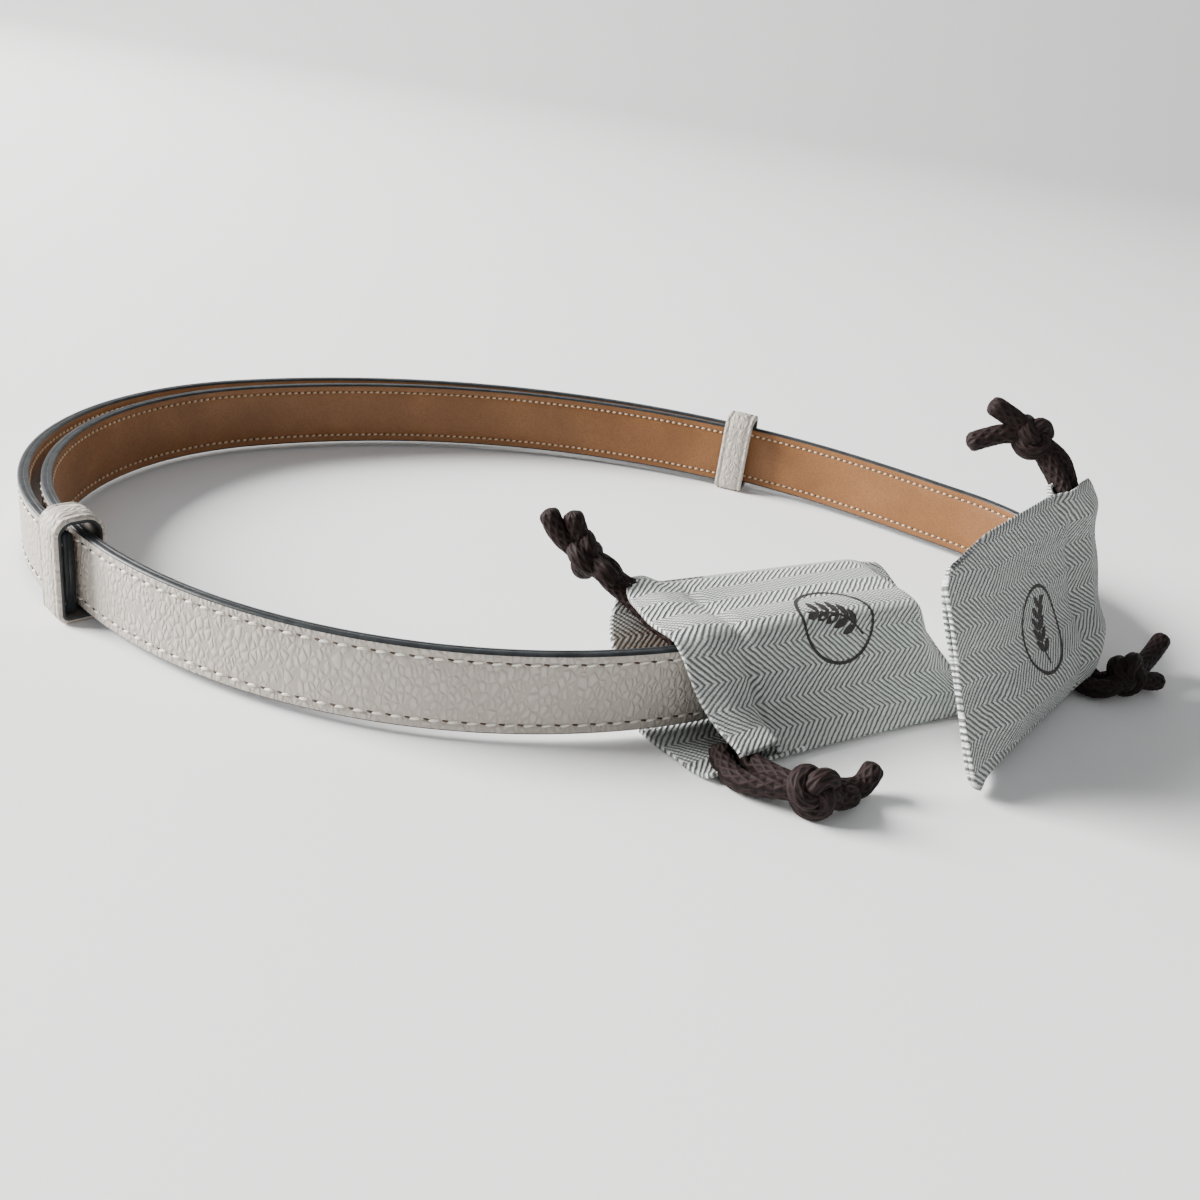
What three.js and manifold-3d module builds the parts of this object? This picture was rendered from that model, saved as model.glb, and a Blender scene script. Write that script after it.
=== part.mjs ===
// A slim leather waist belt of two straps that slide through each other's keepers, lying on a
// table as an open loop. A turn-lock clasp on the two free ends is covered by two cotton
// drawstring pouches. Millimetres, +Z up, the belt stands on its keepers at z = 0.
import * as THREE from 'three';
import { mergeVertices } from 'three/addons/utils/BufferGeometryUtils.js';
import Module from 'manifold-3d';

const wasm = await Module();
wasm.setup();

// ---------------------------------------------------------------- driving dimensions

// Straps.
const STRAP_WIDTH = 18;
const LEATHER_THICK = 1.3; // grained outer ply
const LINING_THICK = 1.1; // smooth inner ply
const STRAP_STEP = 5; // length of one facet along a strap

// The route of the front strap's middle from its clasp end, walked clockwise as seen from
// above: a stretch is straight, [length], or bends to the right, [radius, degrees].
const ROUTE = [[40], [115, 22.5], [105, 60.5], [70, 91], [160, 73.5], [20], [44, 91.6], [53]];
const ROUTE_START = { x: 58, y: 236.4, heading: 214 };
const FRONT_KEEPER_AT = 184.5; // distance along the route
const BACK_KEEPER_AT = 460.5;
const STRAP_GAP = 0.5; // between the two straps where they lie together
const SLACK = 3.3; // how far the back strap can still be drawn in round the end bend
const SLACK_HEADING = -30; // the direction in which it is drawn in

// Keepers, the leather loops on the strap ends.
const KEEPER_WIDTH = 8.5; // along the strap
const KEEPER_WALL = 1.6;
const KEEPER_SPARE = 2.3; // room across, inside, past two straps and the gap between them
const KEEPER_OVER = 2.3; // room inside above the straps
const KEEPER_TOP_RADIUS = 2.6;
const KEEPER_FOOT_RADIUS = 0.6;
const KEEPER_CLEAR = 0.3; // between a keeper and the strap end that it is fixed on
const STRAP_END_INSET = 1.5; // how far a strap end stops short of its keeper's edge

// Clasp.
const SEAT_GAP = 0.25; // between clasp pieces that rest on each other
const PLATE_THICK = 1;
const PLATE_HEIGHT = 14;
const PLATE_CORNER = 2;
const BACKING_THICK = 0.8;
const SLOT_PLATE_ON_STRAP = 12;
const SLOT_PLATE_REACH = 12; // past the strap end
const SLOT_WIDTH = 3.6;
const SLOT_HEIGHT = 10;
const LOCK_PLATE_LENGTH = 22;
const LOCK_FROM_END = 13; // lock's post to the strap end
const POST_RADIUS = 1.1;
const POST_FLANGE_RADIUS = 2.4;
const POST_FLANGE_THICK = 0.5;
const POST_STAND = 1.3; // room under the toggle for the slotted plate
const WASHER_THICK = 0.3;
const TOGGLE_LENGTH = 8;
const TOGGLE_WIDTH = 2.8;
const TOGGLE_THICK = 1.5;
const SCREW_RADIUS = 0.9;
const SCREW_HEAD_RADIUS = 1.9;
const SCREW_HEAD_THICK = 0.6;
const BORE_CLEAR = 0.3;

// Pouches: flat cotton bags, open at the clasp strap's side.
const CLOTH = 1;
const POUCH_SEAM = 2.4; // thickness of the closed end
const FRONT_POUCH_LENGTH = 75;
const FRONT_POUCH_OVER_STRAP_END = 24.5; // from the strap end to the pouch's closed end
const FRONT_POUCH_TURN = -1; // pouch's axis against the strap's, degrees
const FRONT_POUCH_SIDE = 16.3; // from the strap's middle to the seam on the table
const BACK_POUCH_LENGTH = 70;
const BACK_POUCH_OVER_STRAP_END = 17;
const BACK_POUCH_SIDE = 8.4;
const BACK_POUCH_CLEAR = 0.05; // from its inner face to the clasp's backing
const BACK_POUCH_HEIGHT = 48.2; // it stands on its long seam
const BACK_POUCH_LEAN = 8; // how far the top of its closed end leans past its foot

// Drawstring ends, in the belt's own frame: each strand from the bag, through the knot, to its
// cut end.
const CORD_RADIUS = 2.3;
const KNOT_SIZE = [12, 10.5, 10.5];
const TASSELS = {
  front_pouch_upper_drawstring: {
    knot: [4.6, -51, 26],
    strands: [
      [[11.4, -54.6, 22.2], [9, -55.2, 24.6], [4.6, -51, 26], [2.4, -50.4, 30.6], [0.4, -50, 35]],
      [[12.2, -53.2, 22.2], [9.6, -50.4, 23.8], [4.6, -51, 26], [-1.2, -50.6, 29.6], [-4.8, -50, 34.6]],
    ],
  },
  front_pouch_lower_drawstring: {
    knot: [53.4, -96, 5.4],
    strands: [
      [[41.8, -83, 2.7], [45.2, -88.6, 3.4], [53.4, -96, 5.4], [59, -91, 3.3], [64, -87.6, 2.7],
        [66.6, -85, 6.6]],
      [[37.4, -86.2, 2.2], [41.2, -92.4, 2.7], [53.4, -96, 5.4], [58.6, -93.8, 3.1], [62.6, -90.6, 2.7]],
    ],
  },
  back_pouch_upper_drawstring: {
    knot: [100.4, -16.8, 56.4],
    strands: [
      [[107.7, -21.9, 48], [104.4, -19.2, 52.2], [100.4, -16.8, 56.4], [94.6, -17, 56.4], [89.8, -17.6, 54.8],
        [86, -18.2, 53]],
      [[110.1, -18.5, 48.4], [107.4, -17.2, 52.4], [100.4, -16.8, 56.4], [96, -17.2, 59.4],
        [92, -17.4, 61.4], [88.8, -17.6, 62.8]],
    ],
  },
  back_pouch_lower_drawstring: {
    knot: [135.4, -26, 5.6],
    strands: [
      [[125.6, -30.4, 3], [130.4, -30.4, 3.4], [135.4, -26, 5.6], [140.8, -19.8, 4.6], [145.4, -14.2, 6.4],
        [149, -9.8, 9.6]],
      [[128.3, -25.9, 3], [131.6, -26.4, 3.4], [135.4, -26, 5.6], [141.6, -23.8, 3.6], [146.2, -21.4, 2.8]],
    ],
  },
};

// ---------------------------------------------------------------- values that follow

const STRAP_THICK = LEATHER_THICK + LINING_THICK;
const STRAP_LIFT = KEEPER_WALL + KEEPER_CLEAR;
const STRAP_MIDDLE = STRAP_LIFT + STRAP_WIDTH / 2;
const STRAP_TOP = STRAP_LIFT + STRAP_WIDTH;
const KEEPER_HEIGHT = KEEPER_CLEAR + STRAP_WIDTH + KEEPER_OVER; // inside
const ROUTE_LENGTH = ROUTE.reduce((sum, stretch) => sum + lengthOf(stretch), 0);
const STRAP_SPACING = STRAP_THICK + STRAP_GAP; // middle to middle where they lie together
const KEEPER_ROOM = 2 * STRAP_THICK + STRAP_GAP + KEEPER_SPARE; // inside, across the straps

const rad = THREE.MathUtils.degToRad;

const LEATHER = { color: 0xcfcdc6, roughness: 0.6, metalness: 0 };
const LINING = { color: 0xae7f57, roughness: 0.65, metalness: 0 };
const METAL = { color: 0xc9cacc, roughness: 0.25, metalness: 1 };
const COTTON = { color: 0xd9dcd6, roughness: 0.9, metalness: 0 };
const CORD = { color: 0x3a2022, roughness: 0.85, metalness: 0 };

// ---------------------------------------------------------------- helpers

function lengthOf([size, bend]) {
  return bend ? size * THREE.MathUtils.degToRad(bend) : size;
}

// Place and heading (radians) at a distance along the route.
function routeAt(distance) {
  let { x, y } = ROUTE_START;
  let heading = rad(ROUTE_START.heading);
  let left = distance;
  for (const [size, bend] of ROUTE) {
    const step = Math.min(left, lengthOf([size, bend]));
    if (bend) {
      const next = heading - step / size;
      x += size * (Math.sin(heading) - Math.sin(next));
      y += size * (Math.cos(next) - Math.cos(heading));
      heading = next;
    } else {
      x += step * Math.cos(heading);
      y += step * Math.sin(heading);
    }
    left -= step;
    if (left <= 0) break;
  }
  return { x, y, heading };
}

// How far the back strap's middle lies outside the front strap's: it has the same shape, moved
// away by the slack, until the route turns back past the direction of the slack.
function standOff(distance) {
  const across = Math.sin(routeAt(distance).heading - rad(SLACK_HEADING));
  return STRAP_SPACING + SLACK * Math.max(0, across);
}

function mesh(name, geometry, finish) {
  const piece = new THREE.Mesh(geometry, new THREE.MeshStandardMaterial(finish));
  piece.name = name;
  return piece;
}

function extrude(outline, holes, depth) {
  const shape = new THREE.Shape(outline);
  shape.holes = holes.map((hole) => new THREE.Path(hole));
  return new THREE.ExtrudeGeometry(shape, { depth, bevelEnabled: false });
}

function positionsOnly(geometry) {
  const bare = geometry.index ? geometry.toNonIndexed() : geometry.clone();
  bare.deleteAttribute('normal');
  bare.deleteAttribute('uv');
  return mergeVertices(bare);
}

function solid(geometry) {
  const merged = positionsOnly(geometry);
  return new wasm.Manifold(new wasm.Mesh({
    numProp: 3,
    vertProperties: new Float32Array(merged.attributes.position.array),
    triVerts: new Uint32Array(merged.index.array),
  }));
}

function surface(manifold) {
  const { vertProperties, triVerts } = manifold.getMesh();
  const geometry = new THREE.BufferGeometry();
  geometry.setAttribute('position', new THREE.BufferAttribute(vertProperties, 3));
  geometry.setIndex(new THREE.BufferAttribute(triVerts, 1));
  return geometry;
}

// A rectangle with round corners, centred on (x, y); two radii: its top and its foot.
function roundedRectangle(x, y, width, height, top, foot = top, steps = 5) {
  const points = [];
  const corners = [[1, 1, top, 0], [-1, 1, top, 90], [-1, -1, foot, 180], [1, -1, foot, 270]];
  for (const [sideX, sideY, radius, from] of corners) {
    for (let i = 0; i <= steps; i += 1) {
      const angle = rad(from + (90 * i) / steps);
      points.push(new THREE.Vector2(
        x + sideX * (width / 2 - radius) + radius * Math.cos(angle),
        y + sideY * (height / 2 - radius) + radius * Math.sin(angle),
      ));
    }
  }
  return points;
}

function circle(x, y, radius, steps = 16) {
  return Array.from({ length: steps }, (_, i) => new THREE.Vector2(
    x + radius * Math.cos((2 * Math.PI * i) / steps),
    y + radius * Math.sin((2 * Math.PI * i) / steps),
  ));
}

// A group at a strap's middle: X along the route, Y outwards, Z up from mid-height.
function strapFrame(distance, outwards) {
  const { x, y, heading } = routeAt(distance);
  const frame = new THREE.Group();
  frame.position.set(x - outwards * Math.sin(heading), y + outwards * Math.cos(heading), STRAP_MIDDLE);
  frame.rotation.z = heading;
  return frame;
}

// A plate drawn in X and Z, with its thickness from y upwards along Y.
function plate(outline, holes, y, thick) {
  const geometry = extrude(outline, holes, thick);
  geometry.rotateX(Math.PI / 2);
  geometry.translate(0, y + thick, 0);
  return geometry;
}

// A turned piece with its axis along Y through (x, z), from [radius, y] profile points.
function turned(profile, x, z, steps = 16) {
  const geometry = new THREE.LatheGeometry(profile.map(([r, y]) => new THREE.Vector2(r, y)), steps);
  geometry.translate(x, 0, z);
  return geometry;
}

// ---------------------------------------------------------------- straps

// A ply between two offsets from the route, standing on its edge.
function ply(from, to, inner, outer) {
  const steps = Math.ceil((to - from) / STRAP_STEP);
  const side = (offset) => Array.from({ length: steps + 1 }, (_, i) => {
    const distance = from + ((to - from) * i) / steps;
    const { x, y, heading } = routeAt(distance);
    const out = offset(distance);
    return new THREE.Vector2(x - out * Math.sin(heading), y + out * Math.cos(heading));
  });
  const geometry = extrude([...side(inner), ...side(outer).reverse()], [], STRAP_WIDTH);
  geometry.translate(0, 0, STRAP_LIFT);
  return geometry;
}

// Both plies of a strap, drilled for the screws of its clasp plate.
function strap(name, from, to, middle, screwFrame, screwPlaces) {
  const drill = screwPlaces.map(([x, z]) => {
    const reach = 2 * STRAP_THICK;
    const profile = [[0, -reach], [SCREW_RADIUS + BORE_CLEAR, -reach], [SCREW_RADIUS + BORE_CLEAR, reach],
      [0, reach]];
    const bore = turned(profile, x, z);
    screwFrame.updateMatrixWorld();
    bore.applyMatrix4(screwFrame.matrixWorld);
    return solid(bore);
  });
  const cut = (geometry) => surface(drill.reduce((body, bore) => body.subtract(bore), solid(geometry)));
  const inner = (s) => middle(s) - STRAP_THICK / 2;
  const seam = (s) => inner(s) + LINING_THICK;
  const outer = (s) => middle(s) + STRAP_THICK / 2;
  return [
    mesh(`${name}_leather`, cut(ply(from, to, seam, outer)), LEATHER),
    mesh(`${name}_lining`, cut(ply(from, to, inner, seam)), LINING),
  ];
}

// ---------------------------------------------------------------- keepers

// A loop round both straps; `outside` is its outer wall's inner face, from the route.
function keeper(name, distance, outside) {
  const middle = outside - KEEPER_ROOM / 2;
  const height = KEEPER_HEIGHT + 2 * KEEPER_WALL;
  const rise = KEEPER_WALL + KEEPER_HEIGHT / 2;
  const outline = roundedRectangle(middle, rise, KEEPER_ROOM + 2 * KEEPER_WALL, height,
    KEEPER_TOP_RADIUS + KEEPER_WALL, KEEPER_FOOT_RADIUS + KEEPER_WALL);
  const hole = roundedRectangle(middle, rise, KEEPER_ROOM, KEEPER_HEIGHT,
    KEEPER_TOP_RADIUS, KEEPER_FOOT_RADIUS);
  const geometry = extrude(outline, [hole], KEEPER_WIDTH);
  geometry.translate(0, 0, -KEEPER_WIDTH / 2);
  const { x, y, heading } = routeAt(distance);
  const across = new THREE.Vector3(-Math.sin(heading), Math.cos(heading), 0);
  const along = new THREE.Vector3(Math.cos(heading), Math.sin(heading), 0);
  const placed = new THREE.Matrix4().makeBasis(across, new THREE.Vector3(0, 0, 1), along);
  placed.setPosition(x, y, 0);
  geometry.applyMatrix4(placed);
  return mesh(name, geometry, LEATHER);
}

// ---------------------------------------------------------------- clasp

const STRAP_FACE = STRAP_THICK / 2;
const PLATE_FACE = STRAP_FACE + SEAT_GAP;
const PLATE_TOP = PLATE_FACE + PLATE_THICK;
const BACKING_TOP = -STRAP_FACE - SEAT_GAP;
const SCREW_BORE = SCREW_RADIUS + BORE_CLEAR;

function screw(name, x, z) {
  const head = PLATE_TOP + SEAT_GAP;
  const profile = [[0, BACKING_TOP - BACKING_THICK], [SCREW_RADIUS, BACKING_TOP - BACKING_THICK],
    [SCREW_RADIUS, head], [SCREW_HEAD_RADIUS, head], [SCREW_HEAD_RADIUS * 0.85, head + SCREW_HEAD_THICK],
    [0, head + SCREW_HEAD_THICK]];
  return mesh(name, turned(profile, x, z), METAL);
}

function backing(name, from, to, places) {
  const outline = roundedRectangle((from + to) / 2, 0, to - from, PLATE_HEIGHT, PLATE_CORNER);
  const holes = places.map(([x, z]) => circle(x, -z, SCREW_BORE));
  return mesh(name, plate(outline, holes, BACKING_TOP - BACKING_THICK, BACKING_THICK), METAL);
}

const SLOT_SCREWS = [[SLOT_PLATE_ON_STRAP / 2, 4], [SLOT_PLATE_ON_STRAP / 2, -4]];
const LOCK_SCREWS = [[-LOCK_PLATE_LENGTH / 2 + 3.2, 0], [LOCK_PLATE_LENGTH / 2 - 3.2, 0]];

// The plate with the slot: half on the front strap's end, half past it.
function slotPlate() {
  const frame = strapFrame(0, 0);
  const length = SLOT_PLATE_ON_STRAP + SLOT_PLATE_REACH;
  const middle = (SLOT_PLATE_ON_STRAP - SLOT_PLATE_REACH) / 2;
  const outline = roundedRectangle(middle, 0, length, PLATE_HEIGHT, PLATE_CORNER);
  const slot = roundedRectangle(-SLOT_PLATE_REACH / 2, 0, SLOT_WIDTH, SLOT_HEIGHT, SLOT_WIDTH / 2.1);
  const holes = SLOT_SCREWS.map(([x, z]) => circle(x, -z, SCREW_BORE));
  frame.add(
    mesh('slot_plate', plate(outline, [slot, ...holes], PLATE_FACE, PLATE_THICK), METAL),
    backing('slot_plate_backing', 1, SLOT_PLATE_ON_STRAP, SLOT_SCREWS),
    screw('slot_plate_screw_upper', ...SLOT_SCREWS[0]),
    screw('slot_plate_screw_lower', ...SLOT_SCREWS[1]),
  );
  return frame;
}

// The turn lock on the back strap's end: a plate, a post, and a toggle that turns on it.
function turnLock() {
  const frame = strapFrame(ROUTE_LENGTH - LOCK_FROM_END, STRAP_SPACING);
  const outline = roundedRectangle(0, 0, LOCK_PLATE_LENGTH, PLATE_HEIGHT, PLATE_CORNER);
  const holes = [...LOCK_SCREWS.map(([x, z]) => circle(x, -z, SCREW_BORE)),
    circle(0, 0, POST_RADIUS + BORE_CLEAR)];
  const flange = PLATE_TOP + SEAT_GAP;
  const washer = flange + POST_FLANGE_THICK + POST_STAND;
  const toggle = washer + WASHER_THICK + SEAT_GAP;
  const post = [[0, PLATE_FACE], [POST_RADIUS, PLATE_FACE], [POST_RADIUS, flange],
    [POST_FLANGE_RADIUS, flange], [POST_FLANGE_RADIUS, flange + POST_FLANGE_THICK],
    [POST_RADIUS, flange + POST_FLANGE_THICK], [POST_RADIUS, toggle + TOGGLE_THICK - 0.4],
    [0, toggle + TOGGLE_THICK - 0.4]];
  const ring = [circle(0, 0, POST_RADIUS + BORE_CLEAR + 0.8), circle(0, 0, POST_RADIUS + BORE_CLEAR)];
  const bar = roundedRectangle(0, 0, TOGGLE_LENGTH, TOGGLE_WIDTH + 1.4, (TOGGLE_WIDTH + 1.4) / 2.1);
  frame.add(
    mesh('lock_plate', plate(outline, holes, PLATE_FACE, PLATE_THICK), METAL),
    backing('lock_backing', -LOCK_PLATE_LENGTH / 2, LOCK_PLATE_LENGTH / 2, LOCK_SCREWS),
    screw('lock_screw_inner', ...LOCK_SCREWS[0]),
    screw('lock_screw_end', ...LOCK_SCREWS[1]),
    mesh('lock_post', turned(post, 0, 0), METAL),
    mesh('lock_washer', plate(ring[0], [ring[1]], washer - SEAT_GAP, WASHER_THICK), METAL),
    mesh('lock_toggle', plate(bar, [circle(0, 0, POST_RADIUS + BORE_CLEAR)], toggle, TOGGLE_THICK), METAL),
  );
  return frame;
}

// ---------------------------------------------------------------- pouches

// A bag from rings of points, outer wall from the closed end to the mouth and back inside.
function bag(rings) {
  const count = rings[0].length;
  const index = [];
  for (let r = 0; r + 1 < rings.length; r += 1) {
    for (let i = 0; i < count; i += 1) {
      const a = r * count + i;
      const b = r * count + ((i + 1) % count);
      index.push(a, b, a + count, b, b + count, a + count);
    }
  }
  const last = (rings.length - 1) * count;
  for (let i = 1; i + 1 < count; i += 1) {
    index.push(0, i + 1, i, last, last + i, last + i + 1);
  }
  const geometry = new THREE.BufferGeometry();
  geometry.setAttribute('position', new THREE.Float32BufferAttribute(rings.flat(2), 3));
  geometry.setIndex(index);
  return geometry;
}

// Moves every side of a closed outline, drawn counter-clockwise, inwards by the cloth.
function inset(outline) {
  const count = outline.length;
  const normal = (p, q) => {
    const length = Math.hypot(q[0] - p[0], q[1] - p[1]);
    return [-(q[1] - p[1]) / length, (q[0] - p[0]) / length];
  };
  return outline.map((point, i) => {
    const a = normal(outline[(i + count - 1) % count], point);
    const b = normal(point, outline[(i + 1) % count]);
    const scale = CLOTH / (1 + a[0] * b[0] + a[1] * b[1]);
    return [point[0] + (a[0] + b[0]) * scale, point[1] + (a[1] + b[1]) * scale];
  });
}

// The flat closed end: points on either face of a straight seam, matched to a full section.
function seamSection([fromY, fromZ], [toY, toZ], under, over) {
  const length = Math.hypot(toY - fromY, toZ - fromZ);
  const normal = [-(toZ - fromZ) / length, (toY - fromY) / length];
  const at = (share, side) => [
    fromY + (toY - fromY) * share + normal[0] * POUCH_SEAM * side,
    fromZ + (toZ - fromZ) * share + normal[1] * POUCH_SEAM * side,
  ];
  return [...under.map((share) => at(share, 0)), ...over.map((share) => at(share, 1))];
}

function mix(a, b, share) {
  return a.map((point, i) => point.map((value, k) => value + (b[i][k] - value) * share));
}

// A pouch on a strap end. Sections are drawn from its seam on the table, inwards and up; it is
// full from `flatten` past its closed end on, and its cavity starts at `cavity`.
function pouch(name, strapEnd, { length, over, side, towards, lean, full, seam, flatten, cavity }) {
  const ringAt = (along, section) => {
    const ring = section.map(([y, z]) => [
      towards * (along - over - lean * (z / BACK_POUCH_HEIGHT) * (1 - along / length)), side - y, z,
    ]);
    return towards > 0 ? ring.reverse() : ring;
  };
  const sectionAt = (along) => mix(seam, full, Math.min(1, along / flatten));
  const stations = [0, 0.3 * flatten, 0.65 * flatten, flatten, (flatten + length) / 2, length];
  const inside = [...stations.filter((along) => along > cavity).reverse(), cavity];
  const rings = [
    ...stations.map((along) => ringAt(along, sectionAt(along))),
    ...inside.map((along) => ringAt(along, inset(sectionAt(along)))),
  ];
  strapEnd.position.z = 0;
  strapEnd.add(mesh(name, bag(rings), COTTON));
  return strapEnd;
}

function frontPouch() {
  const full = [[0, 0], [11, 0], [21, 0], [31, 10], [40.6, STRAP_TOP + 0.1], [40.2, STRAP_TOP + 1.7],
    [29, STRAP_TOP + 2.7], [17.5, STRAP_TOP + 3.1], [11.5, STRAP_TOP + 0.7], [5.5, 10.5]];
  const seam = seamSection([0, 0], [41, STRAP_TOP - 1.4], [0, 0.28, 0.52, 0.76, 1], [1, 0.72, 0.43, 0.28, 0.12]);
  const strapEnd = strapFrame(0, 0);
  strapEnd.rotation.z += rad(FRONT_POUCH_TURN);
  return pouch('front_pouch_bag', strapEnd, {
    length: FRONT_POUCH_LENGTH, over: FRONT_POUCH_OVER_STRAP_END, side: FRONT_POUCH_SIDE,
    towards: 1, lean: 0, full, seam, flatten: 14, cavity: 6,
  });
}

function backPouch() {
  const behind = BACK_POUCH_SIDE - BACKING_TOP + BACKING_THICK + BACK_POUCH_CLEAR + CLOTH;
  const full = [[0, 0], [6, 0], [behind, 0], [behind, 12], [behind + 0.3, 24], [behind + 2.5, 36],
    [behind + 5.1, BACK_POUCH_HEIGHT - 0.8], [15, BACK_POUCH_HEIGHT], [11, 35], [7.4, STRAP_TOP + 5.6],
    [4.2, STRAP_TOP - 0.4], [0.9, STRAP_TOP - 4.4], [-0.5, 9], [-0.5, 3]];
  const seam = seamSection([0.6, 0], [16, 45], [0, 0.02, 0.08, 0.25, 0.5, 0.75, 1],
    [1, 0.75, 0.5, 0.4, 0.3, 0.2, 0.08]);
  return pouch('back_pouch_bag', strapFrame(ROUTE_LENGTH, STRAP_SPACING), {
    length: BACK_POUCH_LENGTH, over: BACK_POUCH_OVER_STRAP_END, side: BACK_POUCH_SIDE,
    towards: -1, lean: BACK_POUCH_LEAN, full, seam, flatten: 14, cavity: 9,
  });
}

// ---------------------------------------------------------------- drawstrings

// One strand of a drawstring through its knot, from the bag to its cut end.
function strand(points) {
  const route = new THREE.CatmullRomCurve3(points.map((point) => new THREE.Vector3(...point)));
  const section = new THREE.Shape(circle(0, 0, CORD_RADIUS, 8));
  return solid(new THREE.ExtrudeGeometry(section, { steps: 12, extrudePath: route, bevelEnabled: false }));
}

// Both ends of a drawstring where they leave the bag, knotted together.
function tassel(name, { strands, knot }) {
  const ball = new THREE.SphereGeometry(1, 12, 8);
  ball.scale(...KNOT_SIZE.map((size) => size / 2));
  ball.translate(...knot);
  const joined = strands.reduce((body, points) => body.add(strand(points)), solid(ball));
  return mesh(name, surface(joined), CORD);
}

// ---------------------------------------------------------------- the whole belt

const frontEnd = BACK_KEEPER_AT + KEEPER_WIDTH / 2 - STRAP_END_INSET;
const backStart = FRONT_KEEPER_AT - KEEPER_WIDTH / 2 + STRAP_END_INSET;
const frontKeeperOutside = standOff(FRONT_KEEPER_AT) + STRAP_THICK / 2 + KEEPER_CLEAR;
const backKeeperOutside = KEEPER_ROOM - STRAP_THICK / 2 - KEEPER_CLEAR;

const belt = new THREE.Group();
belt.add(
  ...strap('front_strap', 0, frontEnd, () => 0, strapFrame(0, 0), SLOT_SCREWS),
  ...strap('back_strap', backStart, ROUTE_LENGTH, standOff,
    strapFrame(ROUTE_LENGTH - LOCK_FROM_END, STRAP_SPACING), LOCK_SCREWS),
  keeper('front_keeper', FRONT_KEEPER_AT, frontKeeperOutside),
  keeper('back_keeper', BACK_KEEPER_AT, backKeeperOutside),
  slotPlate(),
  turnLock(),
  frontPouch(),
  backPouch(),
);

// The origin is under the middle of the belt's box, on the table.
const box = new THREE.Box3().setFromObject(belt);
belt.position.set(-(box.min.x + box.max.x) / 2, -(box.min.y + box.max.y) / 2, -box.min.z);

const model = new THREE.Group();
model.add(belt, ...Object.entries(TASSELS).map(([name, shape]) => tassel(name, shape)));

export default model;
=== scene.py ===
# %% [markdown]
# # A slim leather waist belt with two pouches over its clasp
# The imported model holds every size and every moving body. Each cell below makes one piece or one
# finish round it, in metres, in the same frame.

# %% Load the frame
import math

import bmesh
import bpy
import numpy as np
from mathutils import Matrix, Vector


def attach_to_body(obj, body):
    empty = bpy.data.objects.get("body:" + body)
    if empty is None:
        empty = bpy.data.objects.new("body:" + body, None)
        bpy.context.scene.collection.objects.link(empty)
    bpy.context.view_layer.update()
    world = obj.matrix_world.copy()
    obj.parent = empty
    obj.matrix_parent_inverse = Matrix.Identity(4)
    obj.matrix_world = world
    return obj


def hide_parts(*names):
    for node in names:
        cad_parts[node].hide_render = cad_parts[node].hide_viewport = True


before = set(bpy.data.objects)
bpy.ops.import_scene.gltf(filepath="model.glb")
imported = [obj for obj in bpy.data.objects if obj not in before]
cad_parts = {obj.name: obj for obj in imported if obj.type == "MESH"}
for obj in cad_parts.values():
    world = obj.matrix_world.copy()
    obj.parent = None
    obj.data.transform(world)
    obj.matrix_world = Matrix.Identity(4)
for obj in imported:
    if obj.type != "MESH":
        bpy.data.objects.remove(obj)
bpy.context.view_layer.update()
MM = 0.001

# %% [markdown]
# ## Camera
# The belt is seen from the front, from a little above the table, with the camera tipped slightly
# to one side. A camera looks along its own -Z, so its axes are written out as right, up and back.

# %% Camera
CAMERA_PLACE = Vector((9.047, -283.413, 127.42)) * MM
CAMERA_RIGHT = Vector((0.9888, 0.0644, 0.1346))
CAMERA_UP = Vector((-0.1492, 0.4271, 0.8918))
camera = bpy.data.objects.new("camera", bpy.data.cameras.new("camera"))
camera.data.lens, camera.data.sensor_width = 35.926, 36
camera.data.clip_start, camera.data.clip_end = 0.01, 20
axes = Matrix((CAMERA_RIGHT, CAMERA_UP, CAMERA_RIGHT.cross(CAMERA_UP))).transposed()
camera.matrix_world = Matrix.Translation(CAMERA_PLACE) @ axes.to_4x4()
bpy.context.scene.collection.objects.link(camera)
bpy.context.scene.camera = camera
print("camera at", tuple(round(v, 3) for v in CAMERA_PLACE))

# %% [markdown]
# ## The route
# Both straps follow one line of straight stretches and bends. It is walked here once, and every
# strap, keeper and pouch asks it for a place and a heading. A straight stretch is given by its
# length, and a bend by its radius and its angle in degrees.

# %% Route
ROUTE = [[40], [115, 22.5], [105, 60.5], [70, 91], [160, 73.5], [20], [44, 91.6], [53]]
ROUTE_START, ROUTE_HEADING = np.array([67.047, -47.013]), 214
STRAP_WIDTH, LEATHER_THICK, LINING_THICK, STRAP_LIFT = 18, 1.3, 1.1, 1.9
STRAP_THICK = LEATHER_THICK + LINING_THICK
STRAP_SPACING, SLACK, SLACK_HEADING = STRAP_THICK + 0.5, 3.3, -30
STRAP_MIDDLE = STRAP_LIFT + STRAP_WIDTH / 2


def stretch_length(stretch):
    return stretch[0] * math.radians(stretch[1]) if len(stretch) > 1 else stretch[0]


ROUTE_LENGTH = sum(stretch_length(s) for s in ROUTE)


def route_at(distance):
    place, heading = ROUTE_START.copy(), math.radians(ROUTE_HEADING)
    for stretch in ROUTE:
        step = min(distance, stretch_length(stretch))
        if len(stretch) > 1:
            turned = heading - step / stretch[0]
            place += stretch[0] * np.array([math.sin(heading) - math.sin(turned),
                                            math.cos(turned) - math.cos(heading)])
            heading = turned
        else:
            place += step * np.array([math.cos(heading), math.sin(heading)])
        distance -= step
        if distance <= 0:
            break
    return place, heading


def stand_off(distance):
    across = math.sin(route_at(distance)[1] - math.radians(SLACK_HEADING))
    return STRAP_SPACING + SLACK * max(0, across)


def beside_route(distance, out, height):
    place, heading = route_at(distance)
    return [place[0] - out * math.sin(heading), place[1] + out * math.cos(heading), height]


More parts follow.
